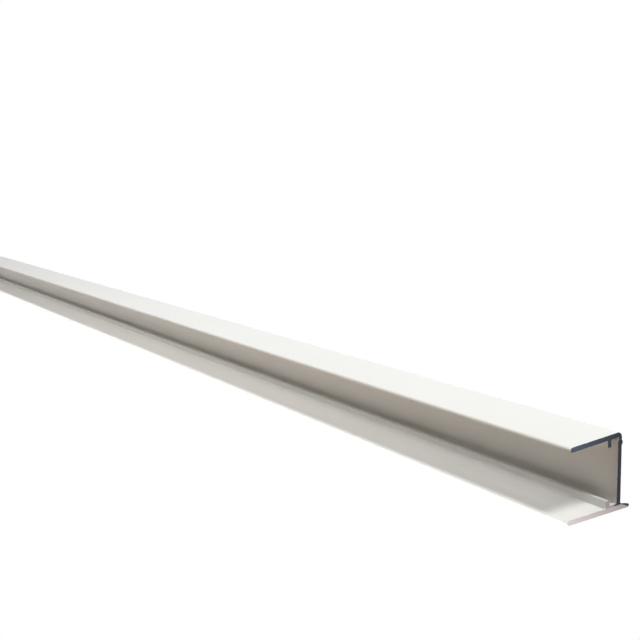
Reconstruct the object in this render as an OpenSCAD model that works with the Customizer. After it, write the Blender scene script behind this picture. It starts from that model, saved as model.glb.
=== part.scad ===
// Extruded aluminium edge channel for 25 mm glazing sheet, one length of white stock.
// The section is drawn once, in millimetres, with x from front to back and y upwards.
// x = 0 is the outer face of the web and y = 0 is the face that lies on the floor.
// The bar runs along X, the mouth faces -Y and the web stands at the back.

/* [Bar] */
// Length that the stock is cut to
bar_length = 1000; // [200:10:3000]

/* [Channel] */
// Clear height between the legs, where they leave the web
sheet_gap = 25.4; // [15:0.1:40]
// Thickness of both legs
leg_wall = 1.8; // [1.2:0.1:3]
// Thickness of the web
web_wall = 1.8; // [1.2:0.1:3]
// Top leg, from the outer face of the web to its nose
top_leg = 25.6; // [15:0.1:40]
// Bottom leg, from the outer face of the web to its nose
bottom_leg = 26.4; // [15:0.1:40]
// Angle by which the top leg leans in, so that it nips the sheet
toe_in = 3; // [0:0.25:4]
// Radius of the outer corner where the top leg turns into the web
corner_r = 2; // [0.5:0.1:3]

/* [Stop ribs] */
// Clear width of the drain gutter between the ribs and the web
gutter = 3.8; // [2.5:0.1:6]
// Thickness of both ribs
rib_wall = 1.7; // [1:0.1:2.5]
// Depth of the rib under the top leg
top_rib = 2.7; // [1.5:0.1:5]
// Height of the rib on the bottom leg
bottom_rib = 2.8; // [2:0.1:5]
// How far the gutter's floor is raised above the bottom leg
floor_rise = 0.7; // [0:0.1:1]
// Rounding of the ribs' free edges
rib_edge_r = 0.2; // [0.1:0.05:0.5]

/* [Drip lip] */
// How far the lip stands out behind the web
lip = 4.6; // [3:0.1:10]
// Thickness of the lip's rounded edge
lip_edge = 1.5; // [1:0.1:2]
// Slope of the lip's upper face
lip_slope = 12; // [0:0.5:15]

/* [Small shapes] */
// Fillets at the feet of the ribs
rib_fillet = 0.4; // [0.2:0.05:1]
// Fillets at the foot of the web
web_fillet = 0.6; // [0.2:0.05:1]
// Bead on the outer face of the web, its radius
bead_r = 1.1; // [0.8:0.05:2]
// How far the bead stands out
bead_height = 0.5; // [0.2:0.05:0.7]
// Drop from the end of the rounded corner to the middle of the bead
bead_drop = 1.9; // [1.2:0.1:6]
// Round relief in the upper inner corner, its radius
relief_r = 0.6; // [0.2:0.05:0.8]

/* [Hidden] */
$fn = 96;
// Overlap that joins neighbouring shapes
lap = web_wall / 8;
section_h = sheet_gap + 2 * leg_wall;
// Ribs, measured back from the outer face of the web
rib_back = web_wall + gutter;
rib_front = rib_back + rib_wall;
// Tangent length and centre of the rounded outer corner
corner_run = corner_r * (1 + sin(toe_in)) / cos(toe_in);
corner_x = -corner_r;
corner_y = section_h - corner_run;
// Where the rounded corner meets the sloping top face
corner_top_x = -corner_run * cos(toe_in);
corner_top_y = section_h - corner_run * sin(toe_in);
// Middle of the lip's round edge and the point where the slope leaves it
lip_r = lip_edge / 2;
lip_x = lip - lip_r;
slope_x = lip_x + lip_r * sin(lip_slope);
slope_y = lip_r + lip_r * cos(lip_slope);
lip_root = slope_y + slope_x * tan(lip_slope);
// The bar is centred from front to back
section_mid = (lip - bottom_leg) / 2;

// Concave fillet for an inner corner at the origin, between a wall on x = 0
// and a floor that runs to the right and falls by the given slope
module fillet(r, slope = 0) {
  run = r * tan(45 - slope / 2);
  foot = [run * cos(slope), -run * sin(slope)];
  under = foot - lap * [sin(slope), cos(slope)];
  difference() {
    polygon([[-lap, -lap], under, foot, [r, run], [-lap, run]]);
    translate([r, run]) circle(r);
  }
}

// Flat leg lying on y = 0, from the web's outer face to a full round nose at x = -reach
module leg(reach) {
  translate([leg_wall / 2 - reach, 0]) square([reach - leg_wall / 2, leg_wall]);
  translate([leg_wall / 2 - reach, leg_wall / 2]) circle(leg_wall / 2);
}

// Upright rib with its foot on y = 0, fillets at the foot and rounded free edges.
// The fillet towards the web stands on the gutter's own floor
module rib(rise, gutter_floor = 0) {
  translate([-rib_front, -lap]) square([rib_wall, rise + lap - rib_edge_r]);
  translate([rib_edge_r - rib_front, -lap]) square([rib_wall - 2 * rib_edge_r, rise + lap]);
  translate([rib_edge_r - rib_front, rise - rib_edge_r]) circle(rib_edge_r);
  translate([-rib_edge_r - rib_back, rise - rib_edge_r]) circle(rib_edge_r);
  translate([-rib_back, gutter_floor]) fillet(rib_fillet);
  translate([-rib_front, 0]) mirror([1, 0]) fillet(rib_fillet);
}

// Bottom leg with its rib and the raised floor behind it
module bottom_side() {
  leg(bottom_leg);
  translate([-rib_back - lap, 0]) square([gutter + 2 * lap, leg_wall + floor_rise]);
  translate([0, leg_wall]) rib(bottom_rib, floor_rise);
}

// Top leg with its rib, leaning in about the web's top outer edge
module top_side() {
  translate([0, section_h]) rotate(toe_in) mirror([0, 1]) {
    leg(top_leg);
    translate([0, leg_wall]) rib(top_rib);
  }
}

// Web with its fillets, the bead outside and the lip behind
module back_side() {
  translate([-web_wall, 0]) square([web_wall, section_h - leg_wall / 2]);
  translate([-web_wall, leg_wall + floor_rise]) mirror([1, 0]) fillet(web_fillet);
  translate([bead_height - bead_r, corner_y - bead_drop]) intersection() {
    circle(bead_r);
    translate([bead_r - bead_height - lap, -bead_r]) square([bead_height + lap, 2 * bead_r]);
  }
  polygon([[-lap, 0], [lip_x, 0], [lip_x, lip_r], [slope_x, slope_y], [0, lip_root], [-lap, lip_root]]);
  translate([lip_x, lip_r]) circle(lip_r);
  translate([0, lip_root]) fillet(web_fillet, lip_slope);
}

// What the rounded outer corner takes away
module corner_waste() {
  difference() {
    polygon([
      [corner_x, corner_y],
      [leg_wall, corner_y],
      [leg_wall, section_h + leg_wall],
      [corner_top_x, section_h + leg_wall],
      [corner_top_x, corner_top_y]
    ]);
    translate([corner_x, corner_y]) circle(corner_r);
  }
}

// Round relief in the upper inner corner, clear of the sheet's edge
module corner_relief() {
  translate([-web_wall, section_h - leg_wall - relief_r]) circle(relief_r);
}

module section() {
  difference() {
    union() {
      bottom_side();
      back_side();
      top_side();
    }
    corner_waste();
    corner_relief();
  }
}

// The whole bar
module channel_profile() {
  color("white") translate([0, -section_mid, 0]) rotate([90, 0, 90])
    linear_extrude(height = bar_length, center = true) section();
}

channel_profile();
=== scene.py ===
# %% [markdown]
# # A length of white edge channel
# The object is one straight bar of extruded aluminium with a white powder coat. It edges a thick glazing
# sheet: two legs grip the sheet, two small ribs stop it, a gutter behind the ribs drains water, and a lip
# behind the web lets it drip. The solid model already holds the section at its real size, so this file
# only gives the bar clean smooth faces, a coat, two saw-cut ends, light and a camera.

# %% Load the frame
import math

import bmesh
import bpy
from mathutils import Matrix, Vector


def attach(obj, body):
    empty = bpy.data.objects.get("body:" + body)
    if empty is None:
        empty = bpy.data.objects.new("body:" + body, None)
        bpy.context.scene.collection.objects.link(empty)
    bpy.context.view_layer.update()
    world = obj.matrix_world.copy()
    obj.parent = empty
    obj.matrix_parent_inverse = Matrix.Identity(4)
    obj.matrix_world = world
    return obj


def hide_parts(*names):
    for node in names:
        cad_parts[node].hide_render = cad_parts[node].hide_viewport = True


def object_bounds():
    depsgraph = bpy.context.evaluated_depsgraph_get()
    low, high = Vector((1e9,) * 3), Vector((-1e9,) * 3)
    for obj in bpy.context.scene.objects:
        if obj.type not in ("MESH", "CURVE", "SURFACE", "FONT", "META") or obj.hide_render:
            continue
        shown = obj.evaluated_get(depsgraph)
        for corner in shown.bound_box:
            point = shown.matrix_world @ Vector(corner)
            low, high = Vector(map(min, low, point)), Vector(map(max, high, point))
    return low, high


MM = 0.001
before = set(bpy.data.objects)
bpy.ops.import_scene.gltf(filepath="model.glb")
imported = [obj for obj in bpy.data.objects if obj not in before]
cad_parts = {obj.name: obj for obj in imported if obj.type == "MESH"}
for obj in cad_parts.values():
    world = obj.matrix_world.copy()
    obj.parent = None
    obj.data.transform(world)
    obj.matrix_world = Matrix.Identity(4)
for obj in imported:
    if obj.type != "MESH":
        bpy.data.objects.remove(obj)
cad_low, cad_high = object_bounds()
cad_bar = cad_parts["channel_profile"]
bar_length = cad_high.x - cad_low.x
half_length = bar_length / 2
print(f"bar {bar_length / MM:.0f} mm long, section {(cad_high.y - cad_low.y) / MM:.1f} mm wide"
      f" and {(cad_high.z - cad_low.z) / MM:.1f} mm high")

# %% [markdown]
# ## Two helpers
# Shader and geometry trees are both sets of nodes and links, so one helper serves them all: it adds a
# node, sets its options, and fills each input with a value or with a link from another node's output.
# Colours are written as sRGB hex values, as a colour picker shows them, and shaders take linear light.


# %% Helpers for nodes and colours
def add_node(tree, kind, inputs=None, **options):
    """Add a node, set its options, and give each named or numbered input a value or a link."""
    node = tree.nodes.new(kind)
    for name, value in options.items():
        setattr(node, name, value)
    for key, value in (inputs or {}).items():
        if isinstance(value, bpy.types.NodeSocket):
            tree.links.new(value, node.inputs[key])
        else:
            node.inputs[key].default_value = value
    return node


def linear(hex_colour):
    """Turn an sRGB hex value into the linear colour of a shader socket."""
    srgb = [int(hex_colour[i:i + 2], 16) / 255 for i in (1, 3, 5)]
    return [c / 12.92 if c <= 0.04045 else ((c + 0.055) / 1.055) ** 2.4 for c in srgb] + [1.0]


print("white in linear light is", linear("#FFFFFF"))

# %% [markdown]
# ## Flakes along the cuts
# A saw breaks a baked coat off in tiny flakes, so bare metal shows beside each cut in a ragged line that
# is less than a millimetre wide. Small pieces of mesh could stand for the flakes, but they are too fine
# to be worth it. Here a noise is weighed by how near the cut is, and the coat is gone where the two
# together pass a limit, so the flakes are thickest at the cut itself.

# %% Flakes in the coat
FLAKE_SIZE = 0.5 * MM
FLAKE_REACH = 0.55 * MM
FLAKE_LIMIT = 0.36
# Octaves of finer noise in a pattern
NOISE_DETAIL = 2.0


def flaked_spots(tree, where):
    """Give a socket that is 1 where the saw has flaked the coat off, and 0 elsewhere."""
    along = add_node(tree, "ShaderNodeSeparateXYZ", {"Vector": where}).outputs["X"]
    from_middle = add_node(tree, "ShaderNodeMath", {0: along}, operation="ABSOLUTE")
    nearness = add_node(tree, "ShaderNodeMapRange", {
        "Value": from_middle.outputs[0],
        "From Min": half_length - FLAKE_REACH,
        "From Max": half_length,
    })
    grit = add_node(tree, "ShaderNodeTexNoise", {
        "Vector": where,
        "Scale": 1 / FLAKE_SIZE,
        "Detail": NOISE_DETAIL,
    })
    ragged = add_node(tree, "ShaderNodeMath", {
        0: nearness.outputs["Result"],
        1: grit.outputs["Fac"],
    }, operation="MULTIPLY")
    flaked = add_node(tree, "ShaderNodeMath", {
        0: ragged.outputs[0],
        1: FLAKE_LIMIT,
    }, operation="GREATER_THAN")
    return flaked.outputs[0]


print(f"the coat flakes within {FLAKE_REACH / MM:.2f} mm of a cut")

# %% [markdown]
# ## The white powder coat
# Polyester powder is sprayed on dry and baked, so it melts into a satin skin with a faint orange peel.
# To the eye that gives a soft, wide highlight, a slightly uneven gloss and no grain. The coat is a plain
# dielectric with an IOR of 1.5. Three noises of different sizes give it a slightly uneven white, an
# uneven gloss and the peel. Where it has flaked off, bare metal takes its place.

# %% White powder coat
COAT_WHITES = ("#ECECE8", "#F2F2EF")
CLOUD_SIZE = 70 * MM
COAT_ROUGHNESS = (0.30, 0.38)
PATCH_SIZE = 18 * MM
PATCH_DETAIL = 3.0
PEEL_SIZE = 1.6 * MM
PEEL_DETAIL = 1.0
PEEL_DEPTH = 0.012 * MM
FLAKED_METAL = "#9A9CA2"


def make_powder_coat():
    material = bpy.data.materials.new("satin_white_powder_coat")
    material.use_nodes = True
    tree = material.node_tree
    shader = tree.nodes["Principled BSDF"]
    where = add_node(tree, "ShaderNodeTexCoord").outputs["Object"]
    cloud = add_node(tree, "ShaderNodeTexNoise", {
        "Vector": where,
        "Scale": 1 / CLOUD_SIZE,
        "Detail": NOISE_DETAIL,
    })
    white = add_node(tree, "ShaderNodeMix", {
        "Factor": cloud.outputs["Fac"],
        "A": linear(COAT_WHITES[0]),
        "B": linear(COAT_WHITES[1]),
    }, data_type="RGBA")
    patch = add_node(tree, "ShaderNodeTexNoise", {
        "Vector": where,
        "Scale": 1 / PATCH_SIZE,
        "Detail": PATCH_DETAIL,
    })
    gloss = add_node(tree, "ShaderNodeMapRange", {
        "Value": patch.outputs["Fac"],
        "To Min": COAT_ROUGHNESS[0],
        "To Max": COAT_ROUGHNESS[1],
    })
    peel = add_node(tree, "ShaderNodeTexNoise", {
        "Vector": where,
        "Scale": 1 / PEEL_SIZE,
        "Detail": PEEL_DETAIL,
    })
    skin = add_node(tree, "ShaderNodeBump", {"Height": peel.outputs["Fac"], "Distance": PEEL_DEPTH})
    flaked = flaked_spots(tree, where)
    colour = add_node(tree, "ShaderNodeMix", {
        "Factor": flaked,
        "A": white.outputs["Result"],
        "B": linear(FLAKED_METAL),
    }, data_type="RGBA")
    tree.links.new(colour.outputs["Result"], shader.inputs["Base Color"])
    tree.links.new(flaked, shader.inputs["Metallic"])
    tree.links.new(gloss.outputs["Result"], shader.inputs["Roughness"])
    tree.links.new(skin.outputs["Normal"], shader.inputs["Normal"])
    return material


powder_coat = make_powder_coat()
print("made", powder_coat.name)

# %% [markdown]
# ## Painted reflection on the cut
# On this bar the cut is painted dark over the top leg, the web and the upper side of the lip, and pale
# along the foot: a painted reflection, dark where the bare metal would mirror dark surroundings and pale
# where it would mirror the pale floor. The lower rib is between the two. An image could hold such a
# pattern, but here it follows the height above the floor and the distance from the web, with a little
# noise, so it stays sharp at any size. The line between the two falls along the sloping lip, so a little
# is added to the height there.

# %% Where the cut's reflection is painted dark
# Where the painted reflection of the cut turns from the pale floor's to the dark one
FOOT_HEIGHT = 2.4 * MM
FOOT_EDGE = 0.5 * MM
EDGE_NOISE_SIZE = 2.5 * MM
EDGE_NOISE_DEPTH = 0.4 * MM
WEB_OUTSIDE = 11.3 * MM
LIP_FALL = 0.42
GUTTER_LINE = 7.5 * MM
GUTTER_BLEND = 0.6 * MM
RIB_LIMIT = 8 * MM
RIB_DARK_REFLECTION_SHARE = 0.35


def dark_reflection_above_foot(tree, where, axes):
    """Give a socket that is 0 on the foot of the cut and 1 above it, where the dark reflection is painted,
    with an uneven line between.
    """
    on_lip = add_node(tree, "ShaderNodeMath", {0: axes["Y"], 1: WEB_OUTSIDE}, operation="SUBTRACT")
    past_web = add_node(tree, "ShaderNodeMath", {0: on_lip.outputs[0], 1: 0.0}, operation="MAXIMUM")
    raised = add_node(tree, "ShaderNodeMath", {
        0: past_web.outputs[0],
        1: LIP_FALL,
        2: axes["Z"],
    }, operation="MULTIPLY_ADD")
    line_noise = add_node(tree, "ShaderNodeTexNoise", {
        "Vector": where,
        "Scale": 1 / EDGE_NOISE_SIZE,
        "Detail": NOISE_DETAIL,
    })
    uneven = add_node(tree, "ShaderNodeMath", {
        0: line_noise.outputs["Fac"],
        1: EDGE_NOISE_DEPTH,
        2: raised.outputs[0],
    }, operation="MULTIPLY_ADD")
    above_foot = add_node(tree, "ShaderNodeMapRange", {
        "Value": uneven.outputs[0],
        "From Min": FOOT_HEIGHT - FOOT_EDGE,
        "From Max": FOOT_HEIGHT,
    })
    return above_foot.outputs["Result"]


def dark_reflection_off_rib(tree, axes):
    """Give a socket that is 1 everywhere except on the lower rib, where the dark reflection is painted only
    in part.
    """
    at_web = add_node(tree, "ShaderNodeMapRange", {
        "Value": axes["Y"],
        "From Min": GUTTER_LINE - GUTTER_BLEND,
        "From Max": GUTTER_LINE + GUTTER_BLEND,
    })
    above_rib = add_node(tree, "ShaderNodeMath", {0: axes["Z"], 1: RIB_LIMIT}, operation="GREATER_THAN")
    off_rib = add_node(tree, "ShaderNodeMath", {
        0: at_web.outputs["Result"],
        1: above_rib.outputs[0],
    }, operation="MAXIMUM")
    partly = add_node(tree, "ShaderNodeMath", {0: off_rib.outputs[0], 1: RIB_DARK_REFLECTION_SHARE}, operation="MAXIMUM")
    return partly.outputs[0]


print(f"the cut is pale up to {FOOT_HEIGHT / MM:.1f} mm above the floor")

# %% [markdown]
# ## The tone of the cut
# Both parts of the cut grow darker from the noses of the legs towards the web: the painted dark reflection
# runs from a blue-grey to nearly black, and the painted pale reflection of the floor from a warm white to
# grey. So there are two ramps along the same way, and the mask of the step before picks between them.

# %% Tone of the cut
# Tones of the painted reflection on the cut: dark above the foot, pale along it
DARK_REFLECTION_TONES = ("#5A616F", "#343641")
FLOOR_REFLECTION_TONES = ("#E0D6D4", "#B3A8A8")


def cut_tone(tree, where):
    """Give a socket with the colour of the bare metal on a cut, with its painted reflection in it."""
    axes = add_node(tree, "ShaderNodeSeparateXYZ", {"Vector": where}).outputs
    backward = add_node(tree, "ShaderNodeMapRange", {
        "Value": axes["Y"],
        "From Min": cad_low.y,
        "From Max": WEB_OUTSIDE,
    })
    dark_reflection_tone = add_node(tree, "ShaderNodeMix", {
        "Factor": backward.outputs["Result"],
        "A": linear(DARK_REFLECTION_TONES[0]),
        "B": linear(DARK_REFLECTION_TONES[1]),
    }, data_type="RGBA")
    floor_reflection_tone = add_node(tree, "ShaderNodeMix", {
        "Factor": backward.outputs["Result"],
        "A": linear(FLOOR_REFLECTION_TONES[0]),
        "B": linear(FLOOR_REFLECTION_TONES[1]),
    }, data_type="RGBA")
    # Painted reflection: dark above the foot, pale along it, and dark only in part on the lower rib
    painted_reflection_darkness = add_node(tree, "ShaderNodeMath", {
        0: dark_reflection_above_foot(tree, where, axes),
        1: dark_reflection_off_rib(tree, axes),
    }, operation="MULTIPLY")
    tone = add_node(tree, "ShaderNodeMix", {
        "Factor": painted_reflection_darkness.outputs[0],
        "A": floor_reflection_tone.outputs["Result"],
        "B": dark_reflection_tone.outputs["Result"],
    }, data_type="RGBA")
    return tone.outputs["Result"]


# Prints the tones of the painted dark reflection on the cut
print("the cut runs from", DARK_REFLECTION_TONES[0], "to", DARK_REFLECTION_TONES[1], "where it is dull")

# %% [markdown]
# ## The saw-cut ends
# A circular saw leaves bare aluminium with fine arcs, one for each tooth. To the eye that gives a matt
# metal with faint curved lines. A wave texture in rings draws them, with its middle where the blade's
# axle was, and it shades, scores and roughens the metal together. The arcs of a real cut are a few tenths
# of a millimetre apart, which is too fine to show, so they are drawn wider.

# %% Saw-cut aluminium
SAW_RADIUS = 125 * MM
ARC_SPACING = 0.9 * MM
ARC_WANDER = 1.5
ARC_DEPTH = 0.03 * MM
ARC_SHADE = (0.86, 1.08)
CUT_ROUGHNESS = (0.42, 0.58)
# A wave texture runs through this phase for each unit of its scale
WAVE_PHASE = 20


def make_saw_cut():
    material = bpy.data.materials.new("saw_cut_aluminium")
    material.use_nodes = True
    tree = material.node_tree
    shader = tree.nodes["Principled BSDF"]
    shader.inputs["Metallic"].default_value = 1.0
    where = add_node(tree, "ShaderNodeTexCoord").outputs["Object"]
    blade = add_node(tree, "ShaderNodeMapping", {"Vector": where, "Location": (0, SAW_RADIUS, -SAW_RADIUS)})
    arcs = add_node(tree, "ShaderNodeTexWave", {
        "Vector": blade.outputs["Vector"],
        "Scale": math.tau / (WAVE_PHASE * ARC_SPACING),
        "Distortion": ARC_WANDER,
        "Detail": NOISE_DETAIL,
    }, wave_type="RINGS", rings_direction="X").outputs["Fac"]
    shade = add_node(tree, "ShaderNodeMapRange", {
        "Value": arcs,
        "To Min": ARC_SHADE[0],
        "To Max": ARC_SHADE[1],
    })
    # The base colour holds the cut's painted reflection, dark above the foot and pale along it, scored by
    # the arcs
    colour = add_node(tree, "ShaderNodeVectorMath", {
        0: cut_tone(tree, where),
        "Scale": shade.outputs["Result"],
    }, operation="SCALE")
    roughness = add_node(tree, "ShaderNodeMapRange", {
        "Value": arcs,
        "To Min": CUT_ROUGHNESS[0],
        "To Max": CUT_ROUGHNESS[1],
    })
    scored = add_node(tree, "ShaderNodeBump", {"Height": arcs, "Distance": ARC_DEPTH})
    tree.links.new(colour.outputs["Vector"], shader.inputs["Base Color"])
    tree.links.new(roughness.outputs["Result"], shader.inputs["Roughness"])
    tree.links.new(scored.outputs["Normal"], shader.inputs["Normal"])
    return material


saw_cut = make_saw_cut()
print("made", saw_cut.name)

# %% [markdown]
# ## The outline of the section
# An extrusion is one section pressed along one straight line, which is a rule that Geometry Nodes can
# follow. Drawing the section again would risk a difference, so the tree takes it from the solid's own end
# face: it keeps the face at the near end, turns its rim into a curve and lays that flat. The rim is every
# edge with a face on one side only. A sweep sets a section on its line with a half turn, so both axes
# change sign here.

# %% Outline from the solid's end face
WELD_DISTANCE = 0.001 * MM


def section_outline(tree, solid, axes, inside):
    """Give a socket with the flat outline of the solid's face that lies beyond the inside length."""
    at_near_end = add_node(tree, "FunctionNodeCompare", {0: axes["X"], 1: inside}, operation="GREATER_THAN")
    end_face = add_node(tree, "GeometryNodeSeparateGeometry", {
        "Geometry": solid,
        "Selection": at_near_end.outputs["Result"],
    }, domain="FACE")
    sides = add_node(tree, "GeometryNodeInputMeshEdgeNeighbors").outputs["Face Count"]
    rim = add_node(tree, "FunctionNodeCompare", {2: sides, 3: 1}, data_type="INT", operation="EQUAL")
    outline = add_node(tree, "GeometryNodeMeshToCurve", {
        "Mesh": end_face.outputs["Selection"],
        "Selection": rim.outputs["Result"],
    })
    across = add_node(tree, "ShaderNodeMath", {0: axes["Y"], 1: -1.0}, operation="MULTIPLY")
    upward = add_node(tree, "ShaderNodeMath", {0: axes["Z"], 1: -1.0}, operation="MULTIPLY")
    flat = add_node(tree, "ShaderNodeCombineXYZ", {"X": across.outputs[0], "Y": upward.outputs[0]})
    section = add_node(tree, "GeometryNodeSetPosition", {
        "Geometry": outline.outputs["Curve"],
        "Position": flat.outputs["Vector"],
    })
    return section.outputs["Geometry"]


print(f"corners closer than {WELD_DISTANCE / MM:.3f} mm count as one")

# %% [markdown]
# ## The sweep
# The outline is swept along a straight line through the bar, with a ring of corners every few
# centimetres. A plain copy of the solid would also do, but its long thin triangles shade badly.


# %% Sweep along the bar
def swept_bar(tree, section, half, spacing):
    """Give a socket with the section swept from minus half to half along X, with both ends closed."""
    minus_half = add_node(tree, "ShaderNodeMath", {0: half, 1: -1.0}, operation="MULTIPLY")
    start = add_node(tree, "ShaderNodeCombineXYZ", {"X": minus_half.outputs[0]})
    end = add_node(tree, "ShaderNodeCombineXYZ", {"X": half})
    line = add_node(tree, "GeometryNodeCurvePrimitiveLine", {
        "Start": start.outputs["Vector"],
        "End": end.outputs["Vector"],
    })
    rings = add_node(tree, "GeometryNodeResampleCurve", {
        "Curve": line.outputs["Curve"],
        "Length": spacing,
    }, mode="LENGTH")
    upright = add_node(tree, "GeometryNodeSetCurveNormal", {"Curve": rings.outputs["Curve"]}, mode="Z_UP")
    swept = add_node(tree, "GeometryNodeCurveToMesh", {
        "Curve": upright.outputs["Curve"],
        "Profile Curve": section,
        "Fill Caps": True,
    })
    return swept.outputs["Mesh"]


print("the section is swept over", f"{bar_length / MM:.0f} mm")

# %% [markdown]
# ## The whole tree
# The tree joins the two steps and finishes the bar. Edges of the two cuts get a bevel weight, which a
# later step uses, gentle edges are shaded smooth, and each face gets the coat or the metal of the cut.

# %% Geometry Nodes tree for the bar
SMOOTH_ANGLE = math.radians(35)


def make_bar_tree():
    tree = bpy.data.node_groups.new("press_section_along_line", "GeometryNodeTree")
    for name, kind in (
        ("Solid", "NodeSocketGeometry"),
        ("Length", "NodeSocketFloat"),
        ("Ring Spacing", "NodeSocketFloat"),
        ("Coat", "NodeSocketMaterial"),
        ("Cut", "NodeSocketMaterial"),
    ):
        tree.interface.new_socket(name=name, in_out="INPUT", socket_type=kind)
    tree.interface.new_socket(name="Bar", in_out="OUTPUT", socket_type="NodeSocketGeometry")
    given = add_node(tree, "NodeGroupInput").outputs
    place = add_node(tree, "GeometryNodeInputPosition").outputs["Position"]
    axes = add_node(tree, "ShaderNodeSeparateXYZ", {"Vector": place}).outputs
    half = add_node(tree, "ShaderNodeMath", {0: given["Length"], 1: 0.5}, operation="MULTIPLY").outputs[0]
    inside = add_node(tree, "ShaderNodeMath", {0: half, 1: WELD_DISTANCE}, operation="SUBTRACT").outputs[0]
    section = section_outline(tree, given["Solid"], axes, inside)
    from_middle = add_node(tree, "ShaderNodeMath", {0: axes["X"]}, operation="ABSOLUTE")
    at_cut = add_node(tree, "FunctionNodeCompare", {
        0: from_middle.outputs[0],
        1: inside,
    }, operation="GREATER_THAN").outputs["Result"]
    weighted = add_node(tree, "GeometryNodeStoreNamedAttribute", {
        "Geometry": swept_bar(tree, section, half, given["Ring Spacing"]),
        "Selection": at_cut,
        "Name": "bevel_weight_edge",
        "Value": 1.0,
    }, data_type="FLOAT", domain="EDGE")
    angle = add_node(tree, "GeometryNodeInputMeshEdgeAngle").outputs["Unsigned Angle"]
    gentle = add_node(tree, "FunctionNodeCompare", {0: angle, 1: SMOOTH_ANGLE}, operation="LESS_THAN")
    smooth = add_node(tree, "GeometryNodeSetShadeSmooth", {
        "Geometry": weighted.outputs["Geometry"],
        "Shade Smooth": gentle.outputs["Result"],
    }, domain="EDGE")
    realized = add_node(tree, "GeometryNodeRealizeInstances", {"Geometry": smooth.outputs["Geometry"]})
    coated = add_node(tree, "GeometryNodeSetMaterial", {
        "Geometry": realized.outputs["Geometry"],
        "Material": given["Coat"],
    })
    cut = add_node(tree, "GeometryNodeSetMaterial", {
        "Geometry": coated.outputs["Geometry"],
        "Selection": at_cut,
        "Material": given["Cut"],
    })
    add_node(tree, "NodeGroupOutput", {"Bar": cut.outputs["Geometry"]})
    return tree


bar_tree = make_bar_tree()
print("bar tree has", len(bar_tree.nodes), "nodes")

# %% [markdown]
# ## From the tree to a plain mesh
# The solid comes as loose triangles, so a copy of it is merged first: only then does the end face have
# one closed rim. The tree then runs as a modifier on that copy, and its result is kept as a plain mesh,
# because an export keeps meshes and drops what a modifier would still have to make.

# %% Run the tree on a copy of the solid
RING_SPACING = 20 * MM


def run_tree(piece, tree, values):
    """Run a geometry tree on a piece with the given inputs and keep the result as a plain mesh."""
    modifier = piece.modifiers.new(tree.name, "NODES")
    modifier.node_group = tree
    for item in tree.interface.items_tree:
        if item.in_out == "INPUT" and item.name in values:
            modifier[item.identifier] = values[item.name]
    depsgraph = bpy.context.evaluated_depsgraph_get()
    result = bpy.data.meshes.new_from_object(piece.evaluated_get(depsgraph))
    piece.modifiers.remove(modifier)
    piece.data = result


bar = bpy.data.objects.new("channel_bar", cad_bar.data.copy())
bpy.context.scene.collection.objects.link(bar)
welder = bmesh.new()
welder.from_mesh(bar.data)
bmesh.ops.remove_doubles(welder, verts=welder.verts, dist=WELD_DISTANCE)
welder.to_mesh(bar.data)
welder.free()
run_tree(bar, bar_tree, {
    "Length": bar_length,
    "Ring Spacing": RING_SPACING,
    "Coat": powder_coat,
    "Cut": saw_cut,
})
print("swept bar has", len(bar.data.polygons), "faces and", [m.name for m in bar.data.materials])

# %% [markdown]
# ## Broken edges at the cut
# No saw leaves a mathematically sharp edge: a wipe with a file breaks it by about a tenth of a
# millimetre. The tree has marked the rim of both cuts with a bevel weight, so a Bevel modifier rounds
# those edges alone and gives them the bare metal of the cut. A bevel needs faces that all point
# outwards, so their normals are worked out again first.

# %% Break the cut edges
BROKEN_WIDTH = 0.12 * MM
BROKEN_STEPS = 2
face_tool = bmesh.new()
face_tool.from_mesh(bar.data)
bmesh.ops.recalc_face_normals(face_tool, faces=face_tool.faces)
face_tool.to_mesh(bar.data)
face_tool.free()
broken_edge = bar.modifiers.new("broken_cut_edge", "BEVEL")
broken_edge.limit_method = "WEIGHT"
broken_edge.width = BROKEN_WIDTH
broken_edge.segments = BROKEN_STEPS
broken_edge.use_clamp_overlap = False
broken_edge.material = list(bar.data.materials).index(saw_cut)
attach(bar, "root")
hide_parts("channel_profile")
print("bar replaces the solid and rides on root")

# %% [markdown]
# ## White ground, without its glare
# The picture shows the floor and the room as plain white. Real white ground would also throw white light
# into the channel and wash out its inside. Light paths keep the two apart: rays that show a surface,
# straight, in a reflection or through glass, may meet white, and rays that carry light may meet
# something darker.


# %% Which rays show a surface
def shown_ray(tree):
    """Give a socket that is 1 for rays that show a surface straight, in a reflection or through glass."""
    path = add_node(tree, "ShaderNodeLightPath").outputs
    straight = add_node(tree, "ShaderNodeMath", {
        0: path["Is Camera Ray"],
        1: path["Is Glossy Ray"],
    }, operation="MAXIMUM")
    shown = add_node(tree, "ShaderNodeMath", {
        0: straight.outputs[0],
        1: path["Is Transmission Ray"],
    }, operation="MAXIMUM")
    return shown.outputs[0]


print("rays that show a surface are told apart from rays that light it")

# %% [markdown]
# ## Light from the floor
# As a source of light, the floor is a strip of thin white paper, lit from below, on a warm grey bench.
# The paper lightens the round noses from below, so that they fade into the floor. The bench gives the
# web its warm tone, and it grows darker towards the near cut, as the web does. One even grey would be
# simpler, but then the web would be as bright at the cut as in the middle.

# %% Paper and bench
PAPER_REACH = 20 * MM
PAPER_TONE = "#F4F2EE"
PAPER_GLOW = 0.9
BENCH_TONES = ("#CDB49E", "#857060")
BENCH_SHADE_START = half_length - 200 * MM
BENCH_SHADE_END = half_length + 20 * MM
WHITE = "#FFFFFF"


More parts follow.
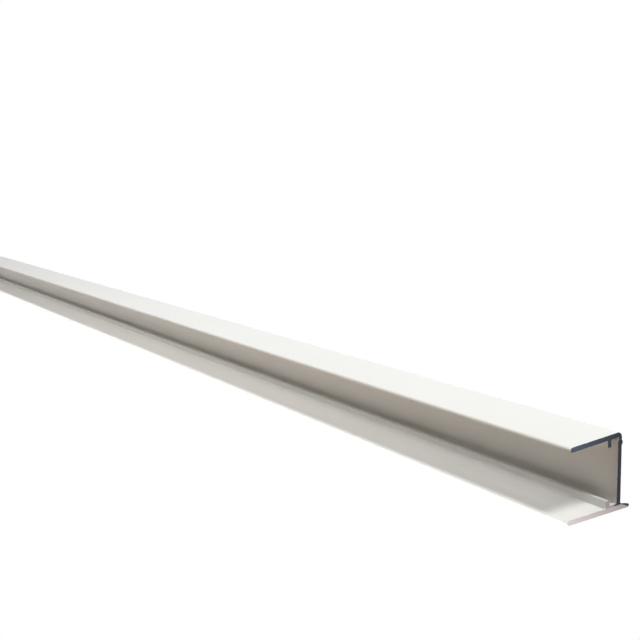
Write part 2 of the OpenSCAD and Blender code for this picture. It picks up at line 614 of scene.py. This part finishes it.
def light_from_floor(tree, axes, away):
    """Give the shader that lights the bar from below: a glowing strip of paper on a bench."""
    beside = add_node(tree, "ShaderNodeMath", {0: away["Y"], 1: PAPER_REACH}, operation="GREATER_THAN")
    beyond = add_node(tree, "ShaderNodeMath", {0: away["X"], 1: half_length}, operation="GREATER_THAN")
    off_paper = add_node(tree, "ShaderNodeMath", {
        0: beside.outputs[0],
        1: beyond.outputs[0],
    }, operation="MAXIMUM").outputs[0]
    toward_cut = add_node(tree, "ShaderNodeMapRange", {
        "Value": axes["X"],
        "From Min": BENCH_SHADE_START,
        "From Max": BENCH_SHADE_END,
    })
    bench = add_node(tree, "ShaderNodeMix", {
        "Factor": toward_cut.outputs["Result"],
        "A": linear(BENCH_TONES[0]),
        "B": linear(BENCH_TONES[1]),
    }, data_type="RGBA")
    bounce = add_node(tree, "ShaderNodeMix", {
        "Factor": off_paper,
        "A": linear(PAPER_TONE),
        "B": bench.outputs["Result"],
    }, data_type="RGBA")
    from_above = add_node(tree, "ShaderNodeBsdfDiffuse", {"Color": bounce.outputs["Result"]})
    through_paper = add_node(tree, "ShaderNodeMath", {
        0: off_paper,
        1: -PAPER_GLOW,
        2: PAPER_GLOW,
    }, operation="MULTIPLY_ADD")
    from_below = add_node(tree, "ShaderNodeEmission", {
        "Color": linear(WHITE),
        "Strength": through_paper.outputs[0],
    })
    lit = add_node(tree, "ShaderNodeAddShader", {0: from_above.outputs[0], 1: from_below.outputs[0]})
    return lit.outputs[0]


print(f"the paper reaches {PAPER_REACH / MM:.0f} mm to each side of the bar's middle")

# %% [markdown]
# ## The floor as it shows
# Where the floor shows, it is a white glow of strength 1, which is plain white. A glow hides shadows, so
# it is weaker in a strip behind the bar, where the front lamps throw the bar's shadow. A grey surface is
# added there, and the lamps bring the strip back to white where the bar doesn't stop them. The strip
# fades out to all sides, and its glow is weaker towards the near cut, where the lamps are brighter.

# %% Shadow strip behind the bar
SHADOW_MIDDLE = 25 * MM
SHADOW_REACH = 20 * MM
SHADOW_FADE = 20 * MM
SHADOW_END = half_length - 100 * MM
SHADOW_END_FADE = 80 * MM


def shadow_strip(tree, axes, away):
    """Give a socket that is 1 on the strip of floor behind the bar and fades to 0 around it."""
    from_middle = add_node(tree, "ShaderNodeMath", {0: axes["Y"], 1: SHADOW_MIDDLE}, operation="SUBTRACT")
    sideways = add_node(tree, "ShaderNodeMath", {0: from_middle.outputs[0]}, operation="ABSOLUTE")
    across = add_node(tree, "ShaderNodeMapRange", {
        "Value": sideways.outputs[0],
        "From Min": SHADOW_REACH,
        "From Max": SHADOW_REACH + SHADOW_FADE,
        "To Min": 1.0,
        "To Max": 0.0,
    })
    along = add_node(tree, "ShaderNodeMapRange", {
        "Value": away["X"],
        "From Min": SHADOW_END,
        "From Max": SHADOW_END + SHADOW_END_FADE,
        "To Min": 1.0,
        "To Max": 0.0,
    })
    strip = add_node(tree, "ShaderNodeMath", {
        0: across.outputs["Result"],
        1: along.outputs["Result"],
    }, operation="MULTIPLY")
    return strip.outputs[0]


print(f"the shadow strip is {2 * SHADOW_REACH / MM:.0f} mm wide, with soft sides")

# %% View of the floor
SHADOW_TONE = "#CBCBCB"
BLACK = "#000000"
GLOW_FAR_CUT = 0.75
GLOW_NEAR_CUT = 0.40
GLOW_NEAR_START = half_length - 200 * MM


def view_of_floor(tree, axes, away):
    """Give the shader that shows the floor: white, with the bar's shadow in a strip behind it."""
    strip = shadow_strip(tree, axes, away)
    grey = add_node(tree, "ShaderNodeMix", {
        "Factor": strip,
        "A": linear(BLACK),
        "B": linear(SHADOW_TONE),
    }, data_type="RGBA")
    shadow = add_node(tree, "ShaderNodeBsdfDiffuse", {"Color": grey.outputs["Result"]})
    strip_glow = add_node(tree, "ShaderNodeMapRange", {
        "Value": axes["X"],
        "From Min": -half_length,
        "From Max": GLOW_NEAR_START,
        "To Min": GLOW_FAR_CUT,
        "To Max": GLOW_NEAR_CUT,
    })
    whiteness = add_node(tree, "ShaderNodeMapRange", {
        "Value": strip,
        "To Min": 1.0,
        "To Max": strip_glow.outputs["Result"],
    })
    glow = add_node(tree, "ShaderNodeEmission", {
        "Color": linear(WHITE),
        "Strength": whiteness.outputs["Result"],
    })
    shown = add_node(tree, "ShaderNodeAddShader", {0: shadow.outputs[0], 1: glow.outputs[0]})
    return shown.outputs[0]


print("the strip glows at", GLOW_FAR_CUT, "by the far cut and at", GLOW_NEAR_CUT, "by the near cut")

# %% [markdown]
# ## The floor
# One large flat face carries both shaders, and the kind of ray picks between them. Its far edge can't
# be seen, because the room beyond it is just as white.

# %% Floor
FLOOR_SIZE = 40.0


def make_floor():
    material = bpy.data.materials.new("white_paper_on_bench")
    material.use_nodes = True
    tree = material.node_tree
    tree.nodes.remove(tree.nodes["Principled BSDF"])
    where = add_node(tree, "ShaderNodeTexCoord").outputs["Object"]
    axes = add_node(tree, "ShaderNodeSeparateXYZ", {"Vector": where}).outputs
    from_middle = add_node(tree, "ShaderNodeVectorMath", {0: where}, operation="ABSOLUTE")
    away = add_node(tree, "ShaderNodeSeparateXYZ", {"Vector": from_middle.outputs["Vector"]}).outputs
    both = add_node(tree, "ShaderNodeMixShader", {
        0: shown_ray(tree),
        1: light_from_floor(tree, axes, away),
        2: view_of_floor(tree, axes, away),
    })
    tree.links.new(both.outputs[0], tree.nodes["Material Output"].inputs["Surface"])
    mesh = bpy.data.meshes.new("floor")
    reach = FLOOR_SIZE / 2
    corners = [(-reach, -reach, 0), (reach, -reach, 0), (reach, reach, 0), (-reach, reach, 0)]
    mesh.from_pydata(corners, [], [(0, 1, 2, 3)])
    mesh.materials.append(material)
    floor = bpy.data.objects.new("floor", mesh)
    floor.location.z = cad_low.z
    bpy.context.scene.collection.objects.link(floor)
    return floor


floor = make_floor()
print(floor.name, "is", FLOOR_SIZE, "m wide")

# %% [markdown]
# ## The room
# The background is plain white to the camera. The same light paths keep that white off the bar: as a
# source of light the room is only a dim fill, so that the lamps alone shape the bar.

# %% World
ROOM_TONE = "#E6E2DC"
ROOM_FILL = 0.05
world = bpy.data.worlds.new("pale_room")
world.use_nodes = True
room = world.node_tree
room.nodes.remove(room.nodes["Background"])
fill = add_node(room, "ShaderNodeBackground", {"Color": linear(ROOM_TONE), "Strength": ROOM_FILL})
backdrop = add_node(room, "ShaderNodeBackground", {"Color": linear(WHITE), "Strength": 1.0})
either = add_node(room, "ShaderNodeMixShader", {
    0: shown_ray(room),
    1: fill.outputs[0],
    2: backdrop.outputs[0],
})
room.links.new(either.outputs[0], room.nodes["World Output"].inputs["Surface"])
bpy.context.scene.world = world
print("world", world.name)

# %% [markdown]
# ## The lamps
# Three strips in front shine down through the mouth. They light the bottom leg and stop short of the
# web, which only gets what the leg and the bench throw back, so it fades to a dark band behind the rib.
# A small lamp above and beyond the near cut lights the top leg, and shines in at the open end onto the
# last centimetre of the bottom leg. A weak strip lifts the far part, one above the mouth softens the
# noses, and a panel behind lights the outer side of the web. One large lamp would be simpler, but it
# would light the web too.

# %% Lamps
LAMP_REACH = 1.1
near_end = Vector((cad_high.x, 0, 0))


def hang_lamp(name, along, angle, size, power, aim_along):
    """Hang a lamp on an arc around the bar, at a place along it that is measured from the near cut.

    0 degrees is in front of the mouth, 90 is above and 180 is behind. Lengths are in metres.
    """
    lamp = bpy.data.lights.new(name, "AREA")
    lamp.shape = "RECTANGLE"
    lamp.size, lamp.size_y = size
    lamp.energy = power
    turn = math.radians(angle)
    place = near_end + Vector((along, -LAMP_REACH * math.cos(turn), LAMP_REACH * math.sin(turn)))
    aim = near_end + Vector((aim_along, 0, 0))
    holder = bpy.data.objects.new(name, lamp)
    holder.location = place
    holder.rotation_euler = (aim - place).to_track_quat("-Z", "Y").to_euler()
    bpy.context.scene.collection.objects.link(holder)
    print(name, "at", angle, "degrees,", power, "W")


hang_lamp("front_strip", along=-0.35, angle=54, size=(0.4, 0.08), power=3.65, aim_along=-0.35)
hang_lamp("lower_strip", along=-0.35, angle=47, size=(0.4, 0.06), power=0.95, aim_along=-0.35)
hang_lamp("higher_strip", along=-0.35, angle=59, size=(0.4, 0.10), power=1.75, aim_along=-0.35)
hang_lamp("top_strip", along=-0.25, angle=70, size=(0.6, 0.10), power=0.7, aim_along=-0.25)
hang_lamp("key_lamp", along=0.42, angle=100, size=(0.28, 0.28), power=8.0, aim_along=0.0)
hang_lamp("back_softbox", along=-0.25, angle=172, size=(1.0, 0.24), power=5.0, aim_along=-0.25)
hang_lamp("low_far_strip", along=-0.95, angle=25, size=(0.5, 0.12), power=0.6, aim_along=-0.95)

# %% [markdown]
# ## Camera
# The camera looks along the bar from the mouth side, a little above it, with the near cut end at the
# right of the picture and the far end outside the left edge. Its place is measured from the foot of the
# web at the near cut, and the focal length is in pixels of the 640 pixel picture.

# %% Camera
WEB_FACE = 10.9 * MM
CAMERA_OFFSET = Vector((215.25, -258.3, 126.63)) * MM
CAMERA_TURN = math.radians(58.06)
CAMERA_DIP = math.radians(9.72)
CAMERA_ROLL = math.radians(-1.684)
FOCAL_PIXELS = 940
PICTURE_PIXELS = 640
SENSOR_WIDTH = 36.0

lens = bpy.data.cameras.new("camera")
lens.sensor_width = SENSOR_WIDTH
lens.lens = SENSOR_WIDTH * FOCAL_PIXELS / PICTURE_PIXELS
camera = bpy.data.objects.new("camera", lens)
camera.location = near_end + Vector((0, WEB_FACE, 0)) + CAMERA_OFFSET
level_view = Matrix.Rotation(CAMERA_TURN, 3, "Z") @ Matrix.Rotation(math.pi / 2 - CAMERA_DIP, 3, "X")
camera.rotation_euler = (level_view @ Matrix.Rotation(CAMERA_ROLL, 3, "Z")).to_euler()
bpy.context.scene.collection.objects.link(camera)
bpy.context.scene.camera = camera
bpy.context.scene.view_settings.view_transform = "Standard"
print(f"camera with a {lens.lens:.1f} mm lens")
